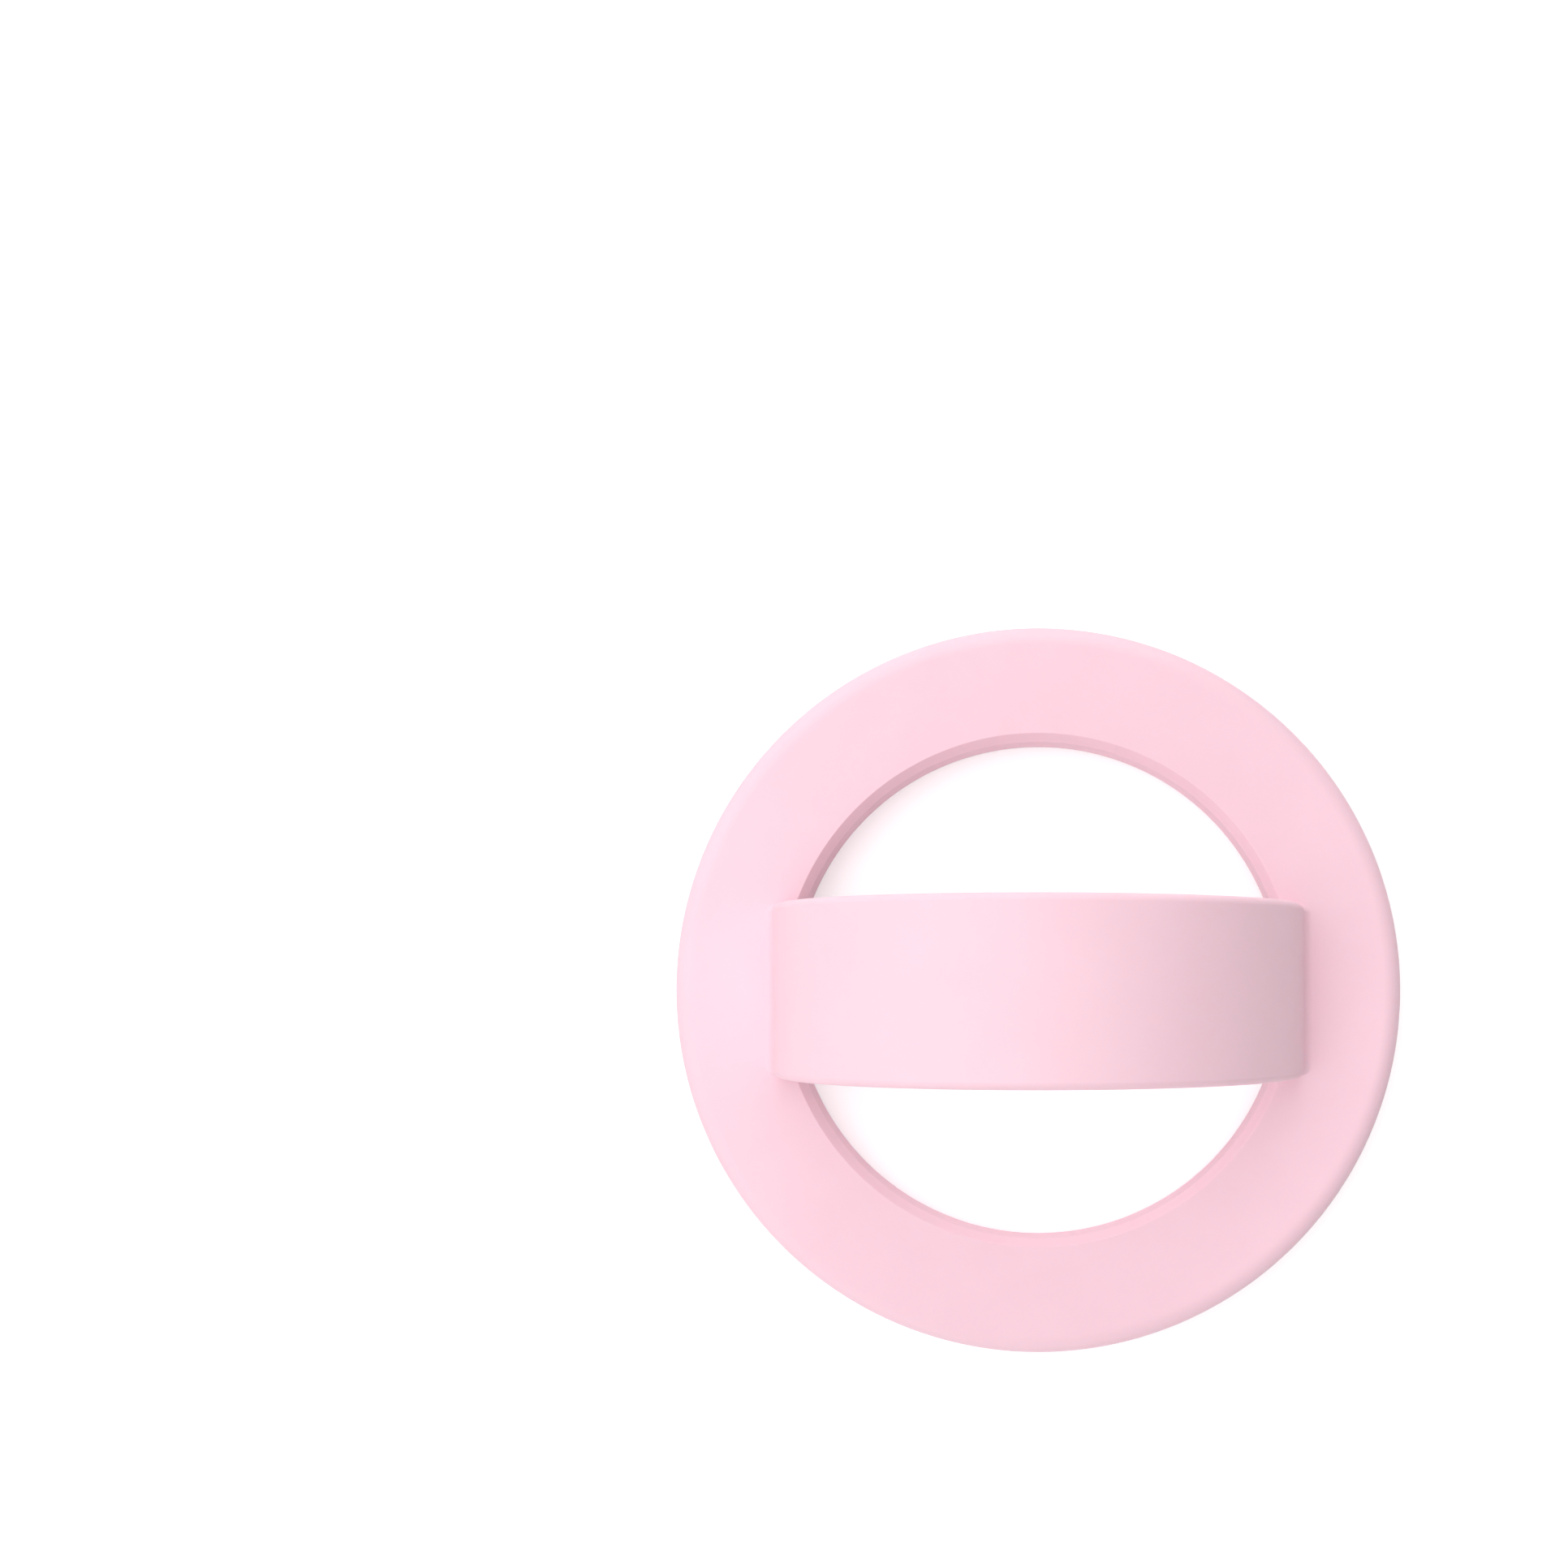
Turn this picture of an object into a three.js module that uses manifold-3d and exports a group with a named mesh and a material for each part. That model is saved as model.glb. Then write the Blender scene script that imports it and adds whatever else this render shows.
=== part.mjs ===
// A magnetic finger strap for the back of a phone: a soft silicone ring with a finger
// loop moulded across it in one piece. A ring of small arc magnets and a steel ring lie
// in a channel in its back, closed by a thin soft cover that sits flush.
//
// Millimetres, +Z up. The origin is the centre of the flat back, on the phone's side.
// The loop spans along X and arches up along +Z, and the fingers pass through it along Y.

import * as THREE from 'three';
import { mergeVertices } from 'three/addons/utils/BufferGeometryUtils.js';
import Module from 'manifold-3d';

const wasm = await Module();
wasm.setup();

// Magnet array, centred on the circle of the magnets in the phone
const magnetCount = 36;
const magnetCircleRadius = 25;
const magnetWidth = 4;
const magnetThickness = 1.6;
const magnetGap = 0.3;
const magnetBevel = 0.12;

// Steel ring in front of the magnets, which closes their field on the loop's side
const steelThickness = 0.5;
const steelBevel = 0.1;

// Soft cover that closes the channel and lies against the phone
const coverThickness = 0.6;
const coverEdgeRadius = 0.2;

// Clearances of what is glued into the body
const bondLine = 0.1;
const magnetClearance = 0.3;
const coverClearance = 0.2;

// Walls of the silicone ring, each measured in the flat of the back
const innerWall = 1.5;
const outerWall = 1.7;
const innerLedge = 0.8;
const outerLedge = 1;
const frontSkin = 1.15;

// Edges of the silicone ring
const outerDraft = THREE.MathUtils.degToRad(2.9);
const frontEdgeRadius = 1.6;
const backEdgeRadius = 0.3;
const leadInWidth = 0.63;
const leadInDepth = 0.8;

// Finger loop: a band bent along half an ellipse whose centre lies below the ring's face
const loopWidth = 14;
const loopThickness = 1.75;
const loopClearHeight = 18.15;
const loopCentreDrop = 1.1;
const loopRootDepth = 1;
const loopEdgeRadius = 0.6;
const loopRootFillet = 0.8;
const legInset = 0.5;

// Fineness of the round faces
const ringSegments = 96;
const cornerSegments = 6;
const smallCornerSegments = 3;
const archSegments = 48;
const magnetArcSegments = 2;

const quarterTurn = Math.PI / 2;

// The channel and the cover's recess follow the magnets, and the ring follows them
const magnetInnerRadius = magnetCircleRadius - magnetWidth / 2;
const magnetOuterRadius = magnetCircleRadius + magnetWidth / 2;
const channelInnerRadius = magnetInnerRadius - magnetClearance;
const channelOuterRadius = magnetOuterRadius + magnetClearance;
const recessInnerRadius = channelInnerRadius - innerLedge;
const recessOuterRadius = channelOuterRadius + outerLedge;
const holeRadius = recessInnerRadius - innerWall;
const ringRadius = recessOuterRadius + outerWall;

// Heights of the stack above the back: cover, magnets, steel ring, skin, glue between
const recessTop = coverThickness + bondLine;
const magnetBottom = recessTop;
const steelBottom = magnetBottom + magnetThickness + bondLine;
const channelTop = steelBottom + steelThickness + bondLine;
const ringThickness = channelTop + frontSkin;

// The loop's legs come down just inside the hole, so its span follows the hole
const loopCentreHeight = ringThickness - loopCentreDrop;
const loopInnerHalfSpan = holeRadius - legInset;
const loopInnerRise = loopClearHeight + loopCentreDrop;
const loopOuterHalfSpan = loopInnerHalfSpan + loopThickness;
const loopOuterRise = loopInnerRise + loopThickness;

const silicone = new THREE.MeshStandardMaterial({
	name: 'pink_silicone',
	color: 0xfcd7e3,
	roughness: 0.55,
	metalness: 0,
});
const softCover = new THREE.MeshStandardMaterial({
	name: 'soft_cover',
	color: 0xf6cddb,
	roughness: 0.8,
	metalness: 0,
});
const nickel = new THREE.MeshStandardMaterial({
	name: 'nickel_plate',
	color: 0xc9c7c2,
	roughness: 0.25,
	metalness: 1,
});
const steel = new THREE.MeshStandardMaterial({
	name: 'zinc_plated_steel',
	color: 0xb4b7ba,
	roughness: 0.4,
	metalness: 1,
});

// A closed geometry as a solid that can be joined and cut.
function solidFrom(geometry) {
	const bare = geometry.clone();
	bare.deleteAttribute('normal');
	bare.deleteAttribute('uv');
	const merged = mergeVertices(bare, 1e-4);
	return new wasm.Manifold(new wasm.Mesh({
		numProp: 3,
		vertProperties: merged.attributes.position.array,
		triVerts: new Uint32Array(merged.index.array),
	}));
}

// A solid back as a flat-shaded geometry.
function geometryFrom(solid) {
	const mesh = solid.getMesh();
	const indexed = new THREE.BufferGeometry();
	indexed.setAttribute('position', new THREE.BufferAttribute(mesh.vertProperties, 3));
	indexed.setIndex(new THREE.BufferAttribute(mesh.triVerts, 1));
	const geometry = indexed.toNonIndexed();
	geometry.computeVertexNormals();
	return geometry;
}

// Points of a corner arc in the (radius, height) plane, both ends included.
function cornerArc(centreRadius, centreHeight, arcRadius, fromAngle, toAngle, segments) {
	const points = [];
	for (let i = 0; i <= segments; i++) {
		const angle = fromAngle + (toAngle - fromAngle) * i / segments;
		points.push(new THREE.Vector2(
			centreRadius + arcRadius * Math.cos(angle),
			centreHeight + arcRadius * Math.sin(angle),
		));
	}
	return points;
}

// A closed (radius, height) profile, listed anticlockwise, turned round the Z axis.
function revolve(profile, segments) {
	const closed = [...profile, profile[0].clone()];
	return new THREE.LatheGeometry(closed, segments).rotateX(quarterTurn);
}

// A rectangular section with all four corners cut, for a flat ring.
function bevelledSection(innerRadius, outerRadius, bottom, top, bevel) {
	return [
		new THREE.Vector2(innerRadius + bevel, bottom),
		new THREE.Vector2(outerRadius - bevel, bottom),
		new THREE.Vector2(outerRadius, bottom + bevel),
		new THREE.Vector2(outerRadius, top - bevel),
		new THREE.Vector2(outerRadius - bevel, top),
		new THREE.Vector2(innerRadius + bevel, top),
		new THREE.Vector2(innerRadius, top - bevel),
		new THREE.Vector2(innerRadius, bottom + bevel),
	];
}

// The plain ring: drafted outer wall, round front edge, and a lead-in round the hole.
function ringSolid() {
	const frontCentreHeight = ringThickness - frontEdgeRadius;
	const wallTop = frontCentreHeight + frontEdgeRadius * Math.sin(outerDraft);
	const wallTopRadius = ringRadius - (wallTop - backEdgeRadius) * Math.tan(outerDraft);
	const frontCentreRadius = wallTopRadius - frontEdgeRadius * Math.cos(outerDraft);
	const profile = [
		...cornerArc(ringRadius - backEdgeRadius, backEdgeRadius, backEdgeRadius,
			-quarterTurn, 0, smallCornerSegments),
		...cornerArc(frontCentreRadius, frontCentreHeight, frontEdgeRadius,
			outerDraft, quarterTurn, cornerSegments),
		new THREE.Vector2(holeRadius + leadInWidth, ringThickness),
		new THREE.Vector2(holeRadius, ringThickness - leadInDepth),
		...cornerArc(holeRadius + backEdgeRadius, backEdgeRadius, backEdgeRadius,
			2 * quarterTurn, 3 * quarterTurn, smallCornerSegments),
	];
	return solidFrom(revolve(profile, ringSegments));
}

// A point of one of the loop's ellipses, about their common centre.
function ellipsePoint(halfSpan, rise, angle) {
	return new THREE.Vector2(halfSpan * Math.cos(angle), rise * Math.sin(angle));
}

// The fillet between the band's outer side and the ring's face: the ellipse angle at
// which its circle touches the band, the band's normal there, and the circle's centre.
function rootFillet() {
	const filletAt = (angle) => {
		const normalAngle = Math.atan2(
			Math.sin(angle) / loopOuterRise,
			Math.cos(angle) / loopOuterHalfSpan,
		);
		const centre = ellipsePoint(loopOuterHalfSpan, loopOuterRise, angle);
		centre.x += loopRootFillet * Math.cos(normalAngle);
		centre.y += loopRootFillet * Math.sin(normalAngle);
		return { angle, normalAngle, centre };
	};
	const centreHeight = loopCentreDrop + loopRootFillet;
	let low = 0;
	let high = quarterTurn;
	while (high - low > 1e-9) {
		const middle = (low + high) / 2;
		if (filletAt(middle).centre.y < centreHeight) low = middle;
		else high = middle;
	}
	return filletAt(low);
}

// The band seen along Y, drawn about the ellipses' centre: over the top from one root
// fillet to the other, and back along the underside.
function bandOutline() {
	const fillet = rootFillet();
	const rightRoot = [
		new THREE.Vector2(fillet.centre.x, -loopRootDepth),
		...cornerArc(fillet.centre.x, fillet.centre.y, loopRootFillet,
			-quarterTurn, fillet.normalAngle - 2 * quarterTurn, cornerSegments),
	];
	const leftRoot = rightRoot.map((point) => new THREE.Vector2(-point.x, point.y)).reverse();
	const over = [];
	const overSweep = 2 * (quarterTurn - fillet.angle);
	for (let i = 1; i < archSegments; i++) {
		const angle = fillet.angle + overSweep * i / archSegments;
		over.push(ellipsePoint(loopOuterHalfSpan, loopOuterRise, angle));
	}
	const under = [];
	for (let i = 0; i <= archSegments; i++) {
		const angle = 2 * quarterTurn * (1 - i / archSegments);
		under.push(ellipsePoint(loopInnerHalfSpan, loopInnerRise, angle));
	}
	return new THREE.Shape([
		...rightRoot,
		...over,
		...leftRoot,
		new THREE.Vector2(-loopInnerHalfSpan, -loopRootDepth),
		...under,
		new THREE.Vector2(loopInnerHalfSpan, -loopRootDepth),
	]);
}

// An outline in the (X, Z) plane made solid along Y, with both its rims rounded.
function extrudeAlongY(outline, width, rimRadius) {
	const geometry = new THREE.ExtrudeGeometry(outline, {
		depth: width - 2 * rimRadius,
		bevelEnabled: rimRadius > 0,
		bevelThickness: rimRadius,
		bevelSize: rimRadius,
		bevelOffset: -rimRadius,
		bevelSegments: smallCornerSegments,
	});
	geometry.translate(0, 0, rimRadius - width / 2);
	return geometry.rotateX(quarterTurn);
}

// A leg carries the underside of the band straight down to the back, as a shallow flat
// on the wall of the hole, so that the moulding core can be drawn out through the hole.
function legSolid(side) {
	const face = loopInnerHalfSpan;
	const corner = backEdgeRadius;
	const points = [
		...cornerArc(face + corner, corner, corner,
			2 * quarterTurn, 3 * quarterTurn, smallCornerSegments),
		new THREE.Vector2(loopOuterHalfSpan, 0),
		new THREE.Vector2(loopOuterHalfSpan, loopCentreHeight),
		new THREE.Vector2(face, loopCentreHeight),
	];
	const geometry = extrudeAlongY(new THREE.Shape(points), loopWidth - 2 * loopEdgeRadius, 0);
	return solidFrom(side < 0 ? geometry.rotateZ(2 * quarterTurn) : geometry);
}

function bandSolid() {
	const geometry = extrudeAlongY(bandOutline(), loopWidth, loopEdgeRadius);
	return solidFrom(geometry.translate(0, 0, loopCentreHeight));
}

// The channel for the magnets and the wider recess for the cover, open at the back.
function cavitySolid() {
	const below = -1;
	const profile = [
		new THREE.Vector2(recessInnerRadius, below),
		new THREE.Vector2(recessOuterRadius, below),
		new THREE.Vector2(recessOuterRadius, recessTop),
		new THREE.Vector2(channelOuterRadius, recessTop),
		new THREE.Vector2(channelOuterRadius, channelTop),
		new THREE.Vector2(channelInnerRadius, channelTop),
		new THREE.Vector2(channelInnerRadius, recessTop),
		new THREE.Vector2(recessInnerRadius, recessTop),
	];
	return solidFrom(revolve(profile, ringSegments));
}

// The one-piece moulding. The cavity is cut last, so that no leg is left in it.
function siliconeBody() {
	const body = ringSolid()
		.add(bandSolid())
		.add(legSolid(1))
		.add(legSolid(-1))
		.subtract(cavitySolid());
	const mesh = new THREE.Mesh(geometryFrom(body), silicone);
	mesh.name = 'silicone_body';
	return mesh;
}

function steelRing() {
	const profile = bevelledSection(magnetInnerRadius, magnetOuterRadius,
		steelBottom, steelBottom + steelThickness, steelBevel);
	const mesh = new THREE.Mesh(revolve(profile, ringSegments), steel);
	mesh.name = 'steel_ring';
	return mesh;
}

// One arc magnet about the X axis, with straight radial ends and cut edges.
function magnetGeometry() {
	const halfGap = magnetGap / 2;
	const halfPitch = Math.PI / magnetCount;
	const innerHalf = halfPitch - Math.asin(halfGap / magnetInnerRadius);
	const outerHalf = halfPitch - Math.asin(halfGap / magnetOuterRadius);
	const outline = new THREE.Shape([
		...cornerArc(0, 0, magnetOuterRadius, -outerHalf, outerHalf, magnetArcSegments),
		...cornerArc(0, 0, magnetInnerRadius, innerHalf, -innerHalf, magnetArcSegments),
	]);
	return new THREE.ExtrudeGeometry(outline, {
		depth: magnetThickness - 2 * magnetBevel,
		bevelThickness: magnetBevel,
		bevelSize: magnetBevel,
		bevelOffset: -magnetBevel,
		bevelSegments: 1,
	}).translate(0, 0, magnetBottom + magnetBevel);
}

function magnetArray() {
	const array = new THREE.Group();
	const geometry = magnetGeometry();
	for (let i = 0; i < magnetCount; i++) {
		const magnet = new THREE.Mesh(geometry, nickel);
		magnet.name = 'magnet_' + String(i + 1).padStart(2, '0');
		magnet.rotation.z = 2 * Math.PI * (i + 0.5) / magnetCount;
		array.add(magnet);
	}
	return array;
}

// The cover fills the recess, with the edges of its outer face rounded over.
function backCover() {
	const inner = recessInnerRadius + coverClearance;
	const outer = recessOuterRadius - coverClearance;
	const edge = coverEdgeRadius;
	const profile = [
		...cornerArc(outer - edge, edge, edge, -quarterTurn, 0, smallCornerSegments),
		new THREE.Vector2(outer, coverThickness),
		new THREE.Vector2(inner, coverThickness),
		...cornerArc(inner + edge, edge, edge,
			2 * quarterTurn, 3 * quarterTurn, smallCornerSegments),
	];
	const mesh = new THREE.Mesh(revolve(profile, ringSegments), softCover);
	mesh.name = 'back_cover';
	return mesh;
}

const strap = new THREE.Group();
strap.add(siliconeBody(), steelRing(), magnetArray(), backCover());

export default strap;
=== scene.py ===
"""Looks of a magnetic finger strap for a phone: a pale pink silicone ring with a finger
loop moulded across it. The strap lies on its flat back and the camera looks down on it.

The shapes are drawn in millimetres, in the frame's own axes, and turned into metres when
each mesh is made. The loop spans along X and arches up along +Z.
"""

import math

import bmesh
import bpy
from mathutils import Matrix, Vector


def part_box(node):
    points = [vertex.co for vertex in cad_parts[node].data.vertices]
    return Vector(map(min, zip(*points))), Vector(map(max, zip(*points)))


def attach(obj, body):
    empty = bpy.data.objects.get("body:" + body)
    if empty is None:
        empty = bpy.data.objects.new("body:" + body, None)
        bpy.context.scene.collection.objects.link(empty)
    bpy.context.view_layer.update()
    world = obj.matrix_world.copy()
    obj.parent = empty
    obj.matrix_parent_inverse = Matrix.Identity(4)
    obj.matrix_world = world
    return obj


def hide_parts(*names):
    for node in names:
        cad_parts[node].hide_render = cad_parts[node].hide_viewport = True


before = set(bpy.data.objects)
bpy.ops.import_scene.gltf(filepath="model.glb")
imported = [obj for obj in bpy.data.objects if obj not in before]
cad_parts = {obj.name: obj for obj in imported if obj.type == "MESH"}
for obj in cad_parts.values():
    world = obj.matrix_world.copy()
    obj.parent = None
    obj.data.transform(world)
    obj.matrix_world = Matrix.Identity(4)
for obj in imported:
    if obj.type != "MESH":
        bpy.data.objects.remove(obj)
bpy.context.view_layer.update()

MM = 0.001

# The frame's own sizes, in millimetres
body_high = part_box("silicone_body")[1] / MM
cover_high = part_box("back_cover")[1] / MM
steel_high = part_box("steel_ring")[1] / MM
RING_RADIUS = body_high.x
LOOP_TOP = body_high.z
COVER_RADIUS = cover_high.x
COVER_THICKNESS = cover_high.z
STEEL_RADIUS = steel_high.x
STEEL_TOP = steel_high.z

# Silicone ring, in millimetres
RING_THICKNESS = 4.15
HOLE_RADIUS = 20.4
OUTER_DRAFT = math.radians(2.9)
FRONT_EDGE_RADIUS = 1.6
BACK_EDGE_RADIUS = 0.3
LEAD_IN_WIDTH = 0.63
LEAD_IN_DEPTH = 0.8
LEAD_IN_EDGE_RADIUS = 0.12
RECESS_EDGE_RADIUS = 0.12

# Channel and recess in the back, in millimetres
MAGNET_WIDTH = 4.0
CHANNEL_CLEARANCE = 0.3
COVER_CLEARANCE = 0.2
INNER_LEDGE = 0.8
BOND_LINE = 0.1
CHANNEL_OUTER = STEEL_RADIUS + CHANNEL_CLEARANCE
CHANNEL_INNER = STEEL_RADIUS - MAGNET_WIDTH - CHANNEL_CLEARANCE
CHANNEL_TOP = STEEL_TOP + BOND_LINE
RECESS_OUTER = COVER_RADIUS + COVER_CLEARANCE
RECESS_INNER = CHANNEL_INNER - INNER_LEDGE
RECESS_TOP = COVER_THICKNESS + BOND_LINE
COVER_EDGE_RADIUS = 0.2

# Finger loop, in millimetres
LOOP_WIDTH = 14.0
LOOP_THICKNESS = 1.75
LOOP_CENTRE_DROP = 1.1
LOOP_EDGE_RADIUS = 0.6
LOOP_ROOT_FILLET = 0.8
LEG_INSET = 0.5
LEG_DEPTH = 0.9
LEG_OVERLAP = 0.3
FOOT_CLEARANCE = 0.2
LOOP_CENTRE = RING_THICKNESS - LOOP_CENTRE_DROP
OUTER_RISE = LOOP_TOP - LOOP_CENTRE
INNER_RISE = OUTER_RISE - LOOP_THICKNESS
INNER_SPAN = HOLE_RADIUS - LEG_INSET
OUTER_SPAN = INNER_SPAN + LOOP_THICKNESS
FOOT_HEIGHT = CHANNEL_TOP + FOOT_CLEARANCE

# Fineness of the round faces, the angle from which a crease stays sharp, and how near
# points are welded, in millimetres
RING_STEPS = 288
ARCH_STEPS = 180
STEP_ANGLE = math.radians(7.5)
SHARP_ANGLE = math.radians(28)
WELD_DISTANCE = 0.0005
HALVINGS = 40

# The photograph's framing, in pixels of its own frame, and the camera that took it
FRAME_PIXELS = 1932
AXIS_PIXEL = (1279.3, 1220.1)
FOCAL_PIXELS = 2140
CAMERA_HEIGHT = 146.12
CAMERA_OFFSET = 0.55
SENSOR_WIDTH = 36.0
CLIP_NEAR = 0.01
CLIP_FAR = 10

# Large soft lights round the strap: azimuth from +X and elevation in degrees, and how
# brightly each lights a surface that faces it
SOFT_LIGHTS = [
    (0, 90, 0.41),
    (90, 18, 0.71),
    (225, 18, 0.35),
    (270, 18, 0.22),
    (315, 18, 0.06),
]
SOFTNESS = 6
# A square lamp near the upper left, in metres, and its level on the same scale
KEY_DIRECTION = (162, 55)
KEY_DISTANCE = 0.32
KEY_SIZE = 0.25
KEY_LEVEL = 0.27
# The floor: its grey, the white that only the camera and mirrors see on it, its half
# width and how far it lies below the strap, in metres
FLOOR_TONE = 0.8
FLOOR_GLOW = 0.4
FLOOR_HALF_WIDTH = 2
FLOOR_DROP = 0.0001

# Colours, each as two near tones that a cloudy pattern mixes
SILICONE_TONES = ((0.966, 0.654, 0.742), (0.954, 0.642, 0.730))
COVER_TONES = ((0.930, 0.618, 0.716), (0.905, 0.588, 0.690))
STEEL_TONES = ((0.50, 0.515, 0.53), (0.41, 0.425, 0.44))
NICKEL_TONES = ((0.62, 0.61, 0.58), (0.53, 0.52, 0.49))

# Finish of each material: the size of its clouds of colour and of gloss and of its
# grain, how deep the grain is, all in millimetres, and the range of its roughness
RUBBER_CLOUDS, RUBBER_GLOSS_CLOUDS = 5, 2.5
RUBBER_SPECULAR = 0.35
SILICONE_GRAIN, SILICONE_DEPTH, SILICONE_ROUGHNESS = 0.16, 0.004, (0.56, 0.64)
SILICONE_SCATTER, SILICONE_SCATTER_DEPTH = 0.15, 0.35
SILICONE_SCATTER_COLOUR = (1, 0.35, 0.4)
COVER_GRAIN, COVER_DEPTH, COVER_ROUGHNESS = 0.3, 0.02, (0.68, 0.8)
STEEL_CLOUDS, STEEL_ROUGHNESS = 6, (0.3, 0.48)
STEEL_BRUSHING, STEEL_DEPTH, STEEL_DETAIL = 0.09, 0.004, 4
NICKEL_CLOUDS, NICKEL_GLOSS_CLOUDS = 1.5, 0.8
NICKEL_GRAIN, NICKEL_DEPTH, NICKEL_ROUGHNESS = 0.12, 0.002, (0.22, 0.34)
NOISE_LOW, NOISE_HIGH = 0.3, 0.7
NOISE_DETAIL = 2
RELIEF_STRENGTH = 0.6


def arc_points(centre, radius, start, end):
    """Points of an arc from the start angle to the end angle, both ends included."""
    steps = max(1, math.ceil(abs(end - start) / STEP_ANGLE))
    angles = (start + (end - start) * i / steps for i in range(steps + 1))
    return [
        Vector((centre[0] + radius * math.cos(a), centre[1] + radius * math.sin(a)))
        for a in angles
    ]


def rounded_outline(corners):
    """A closed outline from (x, y, radius) corners, each corner rounded by its radius."""
    points = []
    count = len(corners)
    for i, (x, y, radius) in enumerate(corners):
        here = Vector((x, y))
        if radius == 0:
            points.append(here)
            continue
        before = (Vector(corners[i - 1][:2]) - here).normalized()
        after = (Vector(corners[(i + 1) % count][:2]) - here).normalized()
        half = before.angle(after) / 2
        centre = here + (before + after).normalized() * (radius / math.sin(half))
        start = here + before * (radius / math.tan(half)) - centre
        end = here + after * (radius / math.tan(half)) - centre
        start_angle = math.atan2(start.y, start.x)
        turn = math.atan2(start.cross(end), start.dot(end))
        points += arc_points(centre, radius, start_angle, start_angle + turn)
    return points


def revolved(name, outline):
    """A closed (radius, height) outline, anticlockwise, turned round Z as a bmesh."""
    made = bmesh.new()
    loops = []
    for i in range(RING_STEPS):
        turn = 2 * math.pi * i / RING_STEPS
        loops.append(
            [
                made.verts.new((p.x * math.cos(turn), p.x * math.sin(turn), p.y))
                for p in outline
            ]
        )
    count = len(outline)
    for i in range(RING_STEPS):
        near, far = loops[i], loops[(i + 1) % RING_STEPS]
        for j in range(count):
            k = (j + 1) % count
            made.faces.new((near[j], far[j], far[k], near[k]))
    return object_from(name, made)


def lofted(name, sections):
    """A solid through closed sections with equal numbers of points, capped at its ends."""
    made = bmesh.new()
    loops = [[made.verts.new(p) for p in section] for section in sections]
    count = len(loops[0])
    for near, far in zip(loops, loops[1:]):
        for j in range(count):
            k = (j + 1) % count
            made.faces.new((near[j], far[j], far[k], near[k]))
    made.faces.new(loops[0])
    made.faces.new(list(reversed(loops[-1])))
    return object_from(name, made)


def object_from(name, made):
    """An object from a bmesh, with its faces turned outwards. The bmesh is used up."""
    bmesh.ops.recalc_face_normals(made, faces=made.faces)
    mesh = bpy.data.meshes.new(name)
    made.to_mesh(mesh)
    made.free()
    piece = bpy.data.objects.new(name, mesh)
    bpy.context.scene.collection.objects.link(piece)
    return piece


def combine(piece, other, operation):
    """Joins or cuts the piece with the other, which is used up."""
    boolean = piece.modifiers.new("combine", "BOOLEAN")
    boolean.operation = operation
    boolean.solver = "EXACT"
    boolean.object = other
    bpy.context.view_layer.update()
    evaluated = piece.evaluated_get(bpy.context.evaluated_depsgraph_get())
    mesh = bpy.data.meshes.new_from_object(evaluated)
    piece.modifiers.clear()
    old = piece.data
    piece.data = mesh
    bpy.data.meshes.remove(old)
    bpy.data.meshes.remove(other.data)


def finish_mesh(piece):
    """Millimetres to metres, with smooth faces that break only at real creases."""
    made = bmesh.new()
    made.from_mesh(piece.data)
    bmesh.ops.remove_doubles(made, verts=made.verts, dist=WELD_DISTANCE)
    bmesh.ops.dissolve_degenerate(made, edges=made.edges, dist=WELD_DISTANCE)
    bmesh.ops.scale(made, vec=(MM, MM, MM), verts=made.verts)
    made.to_mesh(piece.data)
    made.free()
    piece.data.shade_smooth()
    piece.data.set_sharp_from_angle(angle=SHARP_ANGLE)
    weighted = piece.modifiers.new("weighted_normals", "WEIGHTED_NORMAL")
    weighted.keep_sharp = True
    weighted.mode = "FACE_AREA"
    return piece


def ring_outline():
    """The ring's section: drafted wall, round front edge, lead-in, channel and recess."""
    front_radius = RING_RADIUS - (RING_THICKNESS - BACK_EDGE_RADIUS) * math.tan(OUTER_DRAFT)
    back_radius = RING_RADIUS + BACK_EDGE_RADIUS * math.tan(OUTER_DRAFT)
    lead_in_radius = HOLE_RADIUS + LEAD_IN_WIDTH
    lead_in_foot = RING_THICKNESS - LEAD_IN_DEPTH
    return rounded_outline(
        [
            (back_radius, 0, BACK_EDGE_RADIUS),
            (front_radius, RING_THICKNESS, FRONT_EDGE_RADIUS),
            (lead_in_radius, RING_THICKNESS, LEAD_IN_EDGE_RADIUS),
            (HOLE_RADIUS, lead_in_foot, LEAD_IN_EDGE_RADIUS),
            (HOLE_RADIUS, 0, BACK_EDGE_RADIUS),
            (RECESS_INNER, 0, RECESS_EDGE_RADIUS),
            (RECESS_INNER, RECESS_TOP, 0),
            (CHANNEL_INNER, RECESS_TOP, 0),
            (CHANNEL_INNER, CHANNEL_TOP, 0),
            (CHANNEL_OUTER, CHANNEL_TOP, 0),
            (CHANNEL_OUTER, RECESS_TOP, 0),
            (RECESS_OUTER, RECESS_TOP, 0),
            (RECESS_OUTER, 0, RECESS_EDGE_RADIUS),
        ]
    )


def ellipse_point(span, rise, angle):
    return Vector((span * math.cos(angle), rise * math.sin(angle)))


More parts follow.
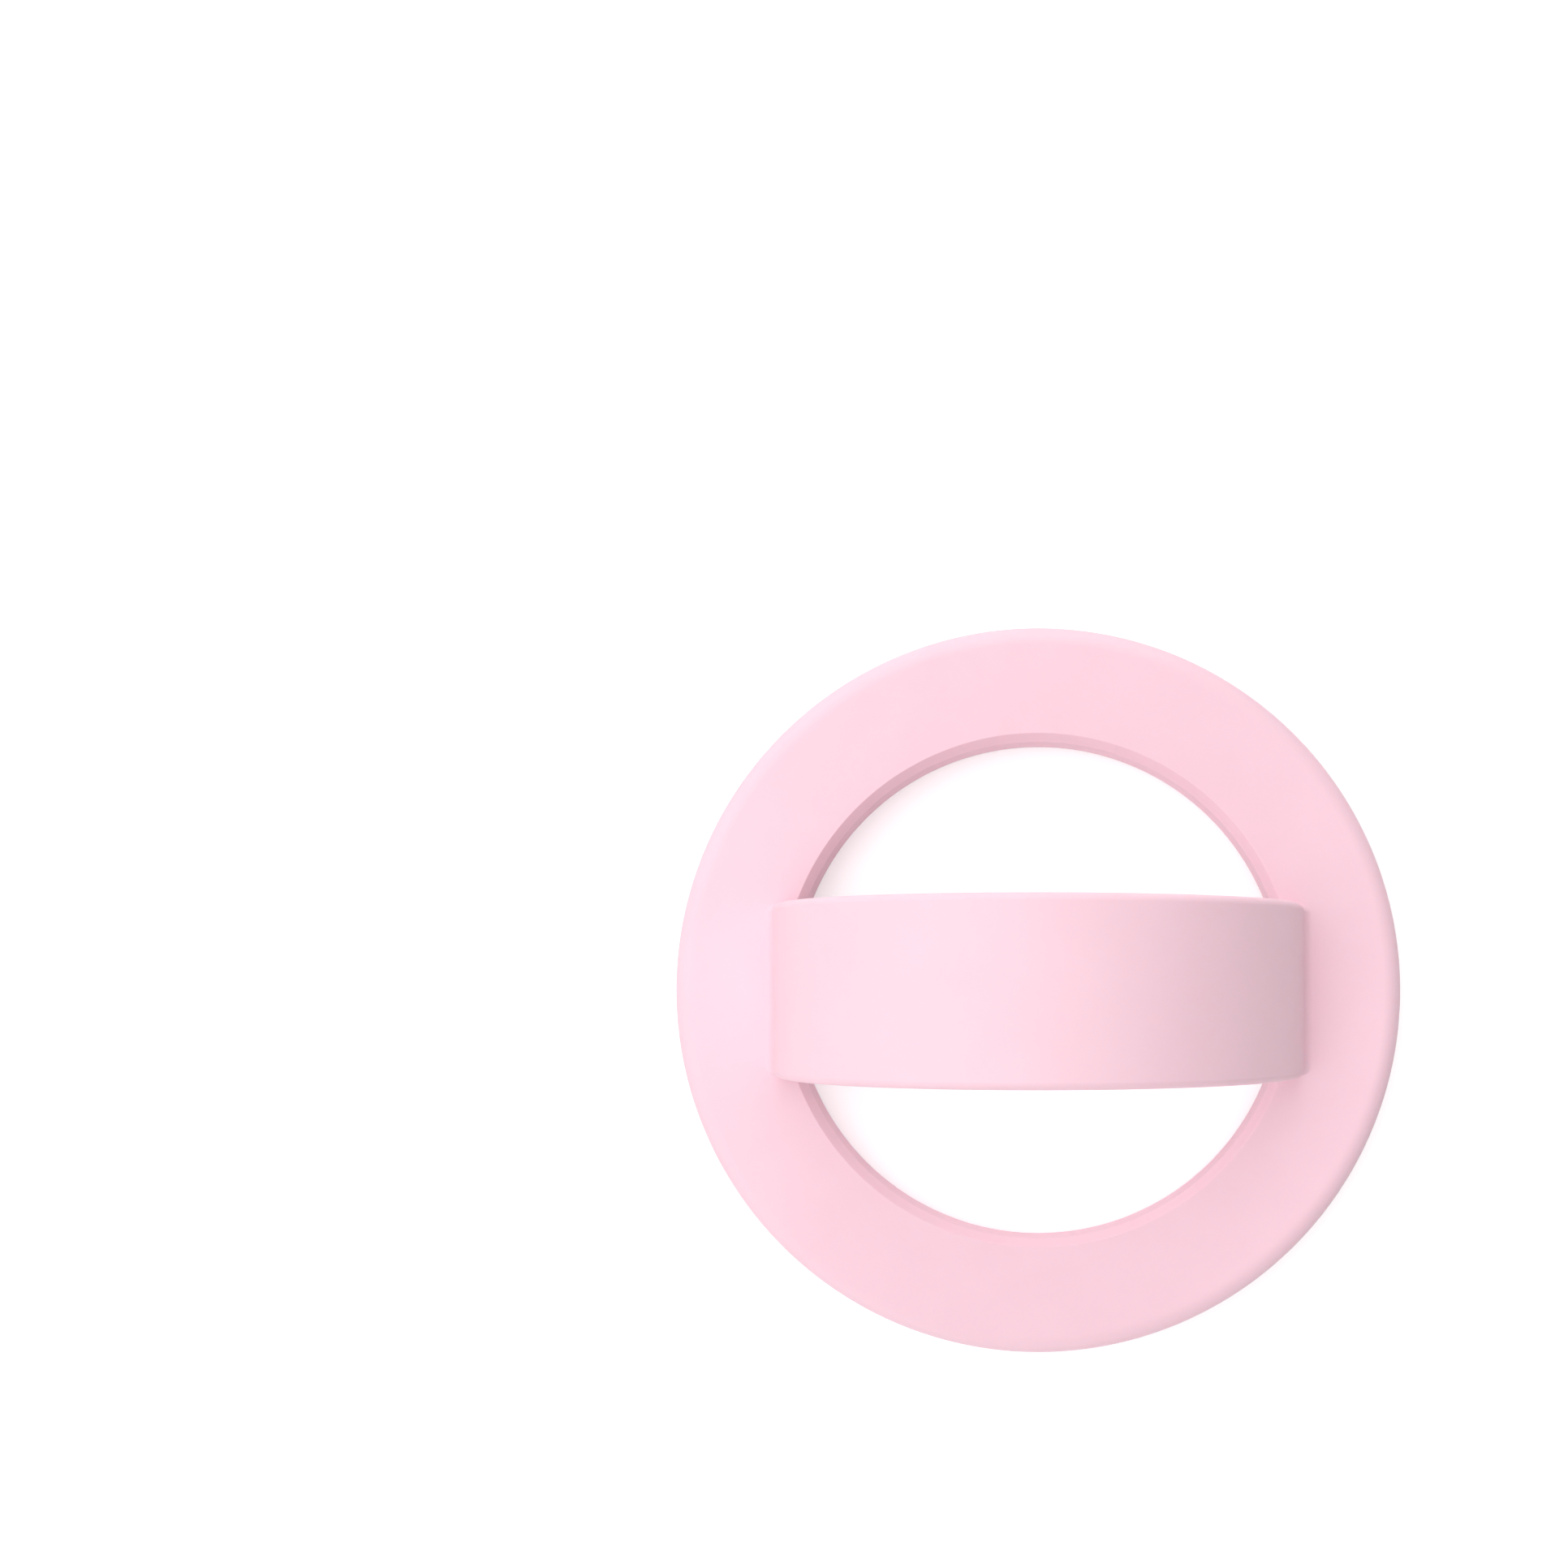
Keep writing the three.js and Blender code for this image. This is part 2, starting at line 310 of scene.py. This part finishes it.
def root_fillet():
    """Where the fillet's circle, which rests on the ring's face, touches the band."""

    def fillet_at(angle):
        normal = Vector((math.cos(angle) / OUTER_SPAN, math.sin(angle) / OUTER_RISE))
        normal.normalize()
        centre = ellipse_point(OUTER_SPAN, OUTER_RISE, angle) + normal * LOOP_ROOT_FILLET
        return centre, math.atan2(normal.y, normal.x)

    low, high = 0.0, math.pi / 2
    for _ in range(HALVINGS):
        middle = (low + high) / 2
        if fillet_at(middle)[0].y < LOOP_CENTRE_DROP + LOOP_ROOT_FILLET:
            low = middle
        else:
            high = middle
    centre, normal_angle = fillet_at(low)
    return low, centre, normal_angle


def band_stations():
    """Pairs of outer and inner points along the band in the (X, Z) plane, from the foot at
    +X over the top to the foot at -X, measured from the ellipses' centre."""
    touch, centre, normal_angle = root_fillet()
    foot = FOOT_HEIGHT - LOOP_CENTRE
    curve = arc_points(centre, LOOP_ROOT_FILLET, -math.pi / 2, normal_angle - math.pi)
    outer = [Vector((centre.x, foot)), *curve]
    sweep = math.pi - 2 * touch
    over = [touch + sweep * i / ARCH_STEPS for i in range(1, ARCH_STEPS)]
    lift = math.asin(foot / INNER_RISE)
    root_angles = [
        lift + (touch - lift) * i / (len(outer) - 1) for i in range(len(outer))
    ]
    inner = [ellipse_point(INNER_SPAN, INNER_RISE, a) for a in root_angles]
    outer += [ellipse_point(OUTER_SPAN, OUTER_RISE, a) for a in over]
    inner += [ellipse_point(INNER_SPAN, INNER_RISE, a) for a in over]
    root = len(root_angles)
    outer += [Vector((-p.x, p.y)) for p in reversed(outer[:root])]
    inner += [Vector((-p.x, p.y)) for p in reversed(inner[:root])]
    return list(zip(outer, inner))


def band_section(outer, inner):
    """The band's section between an outer and an inner point, with rounded edges."""
    across = outer - inner
    thickness = across.length
    across.normalize()
    half = LOOP_WIDTH / 2
    edge = LOOP_EDGE_RADIUS
    outline = rounded_outline(
        [
            (-half, 0, edge),
            (half, 0, edge),
            (half, thickness, edge),
            (-half, thickness, edge),
        ]
    )
    points = []
    for p in outline:
        place = inner + across * p.y
        points.append((place.x, p.x, place.y + LOOP_CENTRE))
    return points


def make_band():
    """The finger loop, from one foot in the ring over the top to the other."""
    return lofted("band", [band_section(*station) for station in band_stations()])


def make_leg(side):
    """The underside of the band carried straight down the wall of the hole, from just
    inside the band's foot."""
    half = LOOP_WIDTH / 2 - LOOP_EDGE_RADIUS
    top = FOOT_HEIGHT + LEG_OVERLAP
    outline = rounded_outline(
        [
            (INNER_SPAN, 0, BACK_EDGE_RADIUS),
            (INNER_SPAN + LEG_DEPTH, 0, 0),
            (INNER_SPAN + LEG_DEPTH, top, 0),
            (INNER_SPAN, top, 0),
        ]
    )
    ends = [[(side * p.x, y, p.y) for p in outline] for y in (-half, half)]
    return lofted("leg", ends)


def make_silicone_body():
    """The ring and the finger loop as one closed moulding."""
    body = revolved("silicone_strap", ring_outline())
    band = make_band()
    for side in (1, -1):
        combine(band, make_leg(side), "UNION")
    combine(body, band, "UNION")
    return finish_mesh(body)


def make_cover():
    """The flat ring that closes the channel, flush with the strap's back."""
    inner = RECESS_INNER + COVER_CLEARANCE
    edge = COVER_EDGE_RADIUS
    outline = rounded_outline(
        [
            (COVER_RADIUS, 0, edge),
            (COVER_RADIUS, COVER_THICKNESS, 0),
            (inner, COVER_THICKNESS, 0),
            (inner, 0, edge),
        ]
    )
    return finish_mesh(revolved("soft_cover", outline))


def make_camera():
    """The camera over the ring, with the photograph's framing given by its shift."""
    camera = bpy.data.cameras.new("camera")
    camera.sensor_width = SENSOR_WIDTH
    camera.lens = SENSOR_WIDTH * FOCAL_PIXELS / FRAME_PIXELS
    camera.shift_x = (FRAME_PIXELS / 2 - AXIS_PIXEL[0]) / FRAME_PIXELS
    below = CAMERA_OFFSET * FOCAL_PIXELS / (CAMERA_HEIGHT - RING_THICKNESS)
    camera.shift_y = (AXIS_PIXEL[1] - below - FRAME_PIXELS / 2) / FRAME_PIXELS
    camera.clip_start = CLIP_NEAR
    camera.clip_end = CLIP_FAR
    holder = bpy.data.objects.new("camera", camera)
    holder.location = (0, CAMERA_OFFSET * MM, CAMERA_HEIGHT * MM)
    bpy.context.scene.collection.objects.link(holder)
    bpy.context.scene.camera = holder


def direction(azimuth, elevation, distance):
    """A point round the strap: azimuth from +X towards +Y and elevation, in degrees."""
    a, e = math.radians(azimuth), math.radians(elevation)
    return (
        distance * math.cos(e) * math.cos(a),
        distance * math.cos(e) * math.sin(a),
        distance * math.sin(e),
    )


def make_key_light():
    """The lamp's power, from the level at which it lights a surface that faces it."""
    lamp = bpy.data.lights.new("key", "AREA")
    lamp.size = KEY_SIZE
    lamp.energy = KEY_LEVEL * (math.pi * KEY_DISTANCE) ** 2
    holder = bpy.data.objects.new("key", lamp)
    holder.location = direction(*KEY_DIRECTION, KEY_DISTANCE)
    holder.rotation_euler = (-holder.location).to_track_quat("-Z", "Y").to_euler()
    bpy.context.scene.collection.objects.link(holder)


def maths(nodes, links, operation, first, second):
    """A maths node on an earlier node's value and a number or another value."""
    made = nodes.new("ShaderNodeMath")
    made.operation = operation
    links.new(first, made.inputs[0])
    if isinstance(second, (int, float)):
        made.inputs[1].default_value = second
    else:
        links.new(second, made.inputs[1])
    return made.outputs[0]


def white_when_seen(nodes, links, rays):
    """A value that is 1 for the named kinds of ray and 0 for all others."""
    path = nodes.new("ShaderNodeLightPath")
    seen = path.outputs[rays[0]]
    for ray in rays[1:]:
        seen = maths(nodes, links, "MAXIMUM", seen, path.outputs[ray])
    return seen


def make_world():
    """A studio lit by large soft lights, which the camera sees as white."""
    world = bpy.data.worlds.new("studio")
    bpy.context.scene.world = world
    world.use_nodes = True
    nodes, links = world.node_tree.nodes, world.node_tree.links
    nodes.clear()
    output = nodes.new("ShaderNodeOutputWorld")
    towards = nodes.new("ShaderNodeTexCoord").outputs["Generated"]
    total = None
    for azimuth, elevation, level in SOFT_LIGHTS:
        facing = nodes.new("ShaderNodeVectorMath")
        facing.operation = "DOT_PRODUCT"
        facing.inputs[1].default_value = direction(azimuth, elevation, 1)
        links.new(towards, facing.inputs[0])
        ahead = maths(nodes, links, "MAXIMUM", facing.outputs["Value"], 0)
        lobe = maths(nodes, links, "POWER", ahead, SOFTNESS)
        lit = maths(nodes, links, "MULTIPLY", lobe, level * (SOFTNESS + 2) / 2)
        total = lit if total is None else maths(nodes, links, "ADD", lit, total)
    room = nodes.new("ShaderNodeBackground")
    room.inputs["Color"].default_value = (1, 1, 1, 1)
    links.new(total, room.inputs["Strength"])
    white = nodes.new("ShaderNodeBackground")
    white.inputs["Color"].default_value = (1, 1, 1, 1)
    white.inputs["Strength"].default_value = 1
    pick = nodes.new("ShaderNodeMixShader")
    links.new(white_when_seen(nodes, links, ["Is Camera Ray"]), pick.inputs[0])
    links.new(room.outputs[0], pick.inputs[1])
    links.new(white.outputs[0], pick.inputs[2])
    links.new(pick.outputs[0], output.inputs["Surface"])


def make_floor():
    """A plain floor that the camera sees as white, and that keeps the strap's shadow."""
    made = bmesh.new()
    bmesh.ops.create_grid(made, x_segments=1, y_segments=1, size=FLOOR_HALF_WIDTH)
    floor = object_from("floor", made)
    material = bpy.data.materials.new("white_floor")
    material.use_nodes = True
    nodes, links = material.node_tree.nodes, material.node_tree.links
    nodes.clear()
    output = nodes.new("ShaderNodeOutputMaterial")
    paint = nodes.new("ShaderNodeBsdfDiffuse")
    paint.inputs["Color"].default_value = (FLOOR_TONE, FLOOR_TONE, FLOOR_TONE, 1)
    glow = nodes.new("ShaderNodeEmission")
    glow.inputs["Color"].default_value = (1, 1, 1, 1)
    both = nodes.new("ShaderNodeAddShader")
    rays = ["Is Camera Ray", "Is Glossy Ray", "Is Transmission Ray"]
    seen = white_when_seen(nodes, links, rays)
    links.new(maths(nodes, links, "MULTIPLY", seen, FLOOR_GLOW), glow.inputs["Strength"])
    links.new(paint.outputs[0], both.inputs[0])
    links.new(glow.outputs[0], both.inputs[1])
    links.new(both.outputs[0], output.inputs["Surface"])
    floor.data.materials.append(material)
    floor.location = (0, 0, -FLOOR_DROP)


def principled(name):
    """A new material with only a Principled shader, and its node tree's parts."""
    material = bpy.data.materials.new(name)
    material.use_nodes = True
    nodes, links = material.node_tree.nodes, material.node_tree.links
    shader = next(n for n in nodes if n.type == "BSDF_PRINCIPLED")
    return material, nodes, links, shader


def cloud(nodes, links, place, grain, detail=NOISE_DETAIL):
    """A noise whose patches are about one grain wide, the grain in millimetres."""
    noise = nodes.new("ShaderNodeTexNoise")
    noise.inputs["Scale"].default_value = 1 / (grain * MM)
    noise.inputs["Detail"].default_value = detail
    links.new(place, noise.inputs["Vector"])
    return noise.outputs["Fac"]


def spread(nodes, links, value, low, high):
    """The noise's middle range drawn out to run from low to high."""
    ranged = nodes.new("ShaderNodeMapRange")
    ranged.inputs["From Min"].default_value = NOISE_LOW
    ranged.inputs["From Max"].default_value = NOISE_HIGH
    ranged.inputs["To Min"].default_value = low
    ranged.inputs["To Max"].default_value = high
    links.new(value, ranged.inputs["Value"])
    return ranged.outputs["Result"]


def tint(nodes, links, shader, value, tones):
    """The base colour mixed from two near tones by a value."""
    mix = nodes.new("ShaderNodeMix")
    mix.data_type = "RGBA"
    first, second = [socket for socket in mix.inputs if socket.type == "RGBA"]
    first.default_value = (*tones[0], 1)
    second.default_value = (*tones[1], 1)
    links.new(spread(nodes, links, value, 0, 1), mix.inputs["Factor"])
    colour = next(socket for socket in mix.outputs if socket.type == "RGBA")
    links.new(colour, shader.inputs["Base Color"])


def relief(nodes, links, shader, value, depth):
    """Surface relief from a value, as deep as the given millimetres."""
    bump = nodes.new("ShaderNodeBump")
    bump.inputs["Strength"].default_value = RELIEF_STRENGTH
    bump.inputs["Distance"].default_value = depth * MM
    links.new(value, bump.inputs["Height"])
    links.new(bump.outputs["Normal"], shader.inputs["Normal"])


def matte_rubber(name, tones, grain, depth, roughness):
    """Moulded rubber: faint clouds in its colour over a fine matte grain."""
    material, nodes, links, shader = principled(name)
    place = nodes.new("ShaderNodeTexCoord").outputs["Object"]
    tint(nodes, links, shader, cloud(nodes, links, place, RUBBER_CLOUDS), tones)
    gloss = cloud(nodes, links, place, RUBBER_GLOSS_CLOUDS)
    links.new(spread(nodes, links, gloss, *roughness), shader.inputs["Roughness"])
    relief(nodes, links, shader, cloud(nodes, links, place, grain), depth)
    shader.inputs["Specular IOR Level"].default_value = RUBBER_SPECULAR
    return material, shader


def silicone_material():
    """Silicone, which lets a little light through just under its surface."""
    finish = (SILICONE_TONES, SILICONE_GRAIN, SILICONE_DEPTH, SILICONE_ROUGHNESS)
    material, shader = matte_rubber("pink_silicone", *finish)
    shader.inputs["Subsurface Weight"].default_value = SILICONE_SCATTER
    shader.inputs["Subsurface Radius"].default_value = SILICONE_SCATTER_COLOUR
    shader.inputs["Subsurface Scale"].default_value = SILICONE_SCATTER_DEPTH * MM
    return material


def cover_material():
    finish = (COVER_TONES, COVER_GRAIN, COVER_DEPTH, COVER_ROUGHNESS)
    material, _ = matte_rubber("soft_cover_pink", *finish)
    return material


def steel_material():
    """Plated sheet steel, brushed round the ring."""
    material, nodes, links, shader = principled("brushed_steel")
    place = nodes.new("ShaderNodeTexCoord").outputs["Object"]
    parts = nodes.new("ShaderNodeSeparateXYZ")
    links.new(place, parts.inputs[0])
    across = maths(nodes, links, "MULTIPLY", parts.outputs["X"], parts.outputs["X"])
    along = maths(nodes, links, "MULTIPLY", parts.outputs["Y"], parts.outputs["Y"])
    square = maths(nodes, links, "ADD", across, along)
    radius = maths(nodes, links, "SQRT", square, 0)
    lines = nodes.new("ShaderNodeCombineXYZ")
    links.new(radius, lines.inputs["X"])
    links.new(parts.outputs["Z"], lines.inputs["Z"])
    brushing = cloud(nodes, links, lines.outputs[0], STEEL_BRUSHING, STEEL_DETAIL)
    tint(nodes, links, shader, cloud(nodes, links, place, STEEL_CLOUDS), STEEL_TONES)
    gloss = spread(nodes, links, brushing, *STEEL_ROUGHNESS)
    links.new(gloss, shader.inputs["Roughness"])
    relief(nodes, links, shader, brushing, STEEL_DEPTH)
    shader.inputs["Metallic"].default_value = 1
    return material


def nickel_material():
    """Satin nickel plating with slight clouds and a faint orange peel."""
    material, nodes, links, shader = principled("satin_nickel")
    place = nodes.new("ShaderNodeTexCoord").outputs["Object"]
    tint(nodes, links, shader, cloud(nodes, links, place, NICKEL_CLOUDS), NICKEL_TONES)
    clouds = cloud(nodes, links, place, NICKEL_GLOSS_CLOUDS)
    gloss = spread(nodes, links, clouds, *NICKEL_ROUGHNESS)
    links.new(gloss, shader.inputs["Roughness"])
    relief(nodes, links, shader, cloud(nodes, links, place, NICKEL_GRAIN), NICKEL_DEPTH)
    shader.inputs["Metallic"].default_value = 1
    return material


def add_piece(piece, material, node):
    """Sets a new piece in the frame, in place of a node."""
    piece.data.materials.append(material)
    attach(piece, "root")
    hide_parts(node)


def refinish(node, material):
    """Gives a node that stays in view a better material."""
    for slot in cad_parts[node].material_slots:
        slot.material = material


def make_pieces():
    add_piece(make_silicone_body(), silicone_material(), "silicone_body")
    add_piece(make_cover(), cover_material(), "back_cover")
    refinish("steel_ring", steel_material())
    nickel = nickel_material()
    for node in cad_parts:
        if node.startswith("magnet_"):
            refinish(node, nickel)


make_camera()
make_key_light()
make_world()
make_floor()
make_pieces()

bpy.context.scene.view_settings.view_transform = "Standard"
